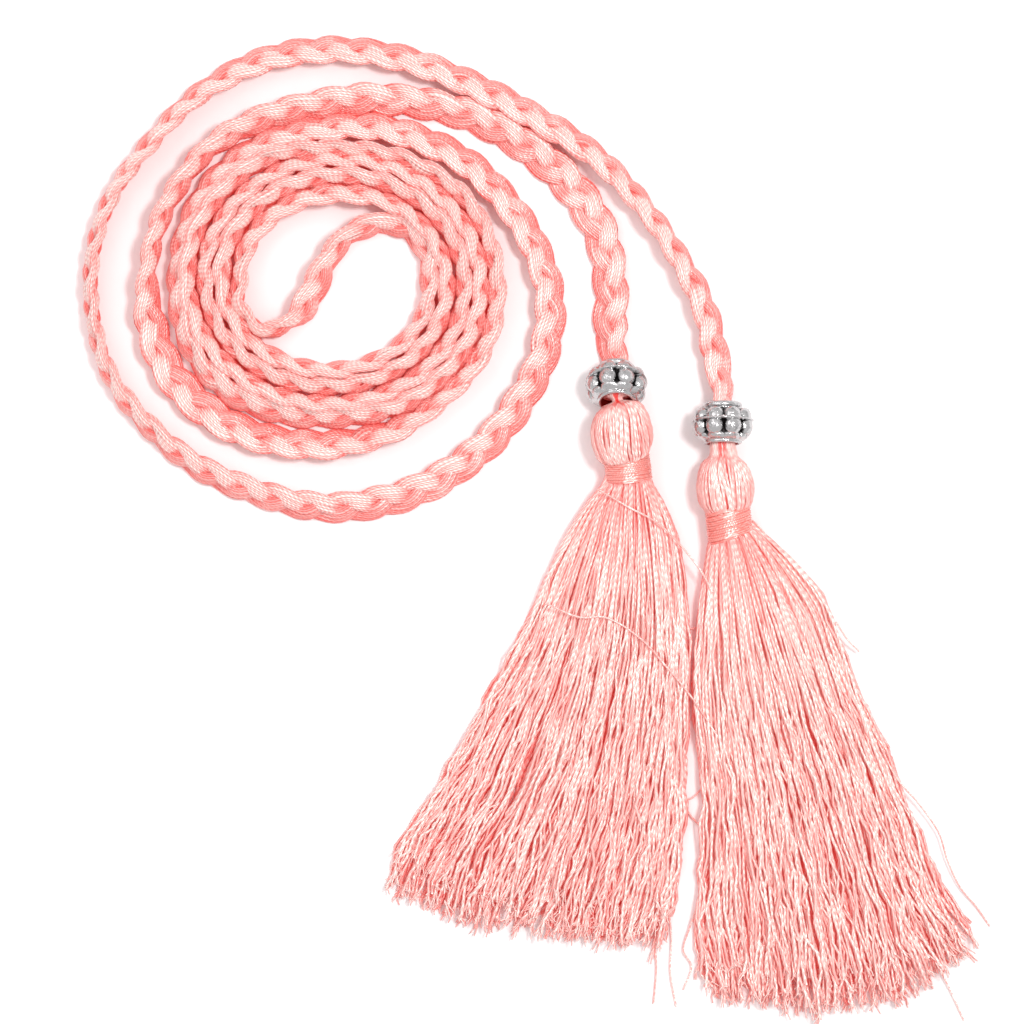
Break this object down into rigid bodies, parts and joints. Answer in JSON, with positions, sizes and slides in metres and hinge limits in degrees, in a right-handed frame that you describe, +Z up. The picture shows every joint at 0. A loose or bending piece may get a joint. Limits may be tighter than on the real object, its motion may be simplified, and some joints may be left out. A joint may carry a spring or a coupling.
{
  "type": "cincture cord",
  "caption": "Flat braided rayon cincture cord laid in a double spiral, each end threaded through a metal bead into a bound-head fringe tassel.",
  "frame": {"origin": "on the surface that the cord lies on, under the middle of the box round both beads and tassels", "axes": "+Z up from the surface, +Y from the tassels' ends towards the coil's side, +X from the left tassel to the right one"},
  "size_m": [0.1774, 0.1945, 0.0125],
  "materials": {
    "cord_yarn": "lustrous twisted rayon yarn, three strands braided flat",
    "tassel_yarn": "lustrous twisted rayon threads",
    "binding_thread": "close-wound glossy thread",
    "antique_silver": "antiqued cast silver colour, bright on the high places and dark in the recesses"
  },
  "bodies": {
    "root": {"cord_coil": "cord_yarn", "cord_middle": "cord_yarn", "cord_run_left": "cord_yarn", "cord_run_right": "cord_yarn", "bead_left": "antique_silver", "neck_left": "tassel_yarn", "head_left": "tassel_yarn", "binding_left": "binding_thread", "skirt_left": "tassel_yarn", "bead_right": "antique_silver", "neck_right": "tassel_yarn", "head_right": "tassel_yarn", "binding_right": "binding_thread", "skirt_right": "tassel_yarn"}
  },
  "joints": []
}
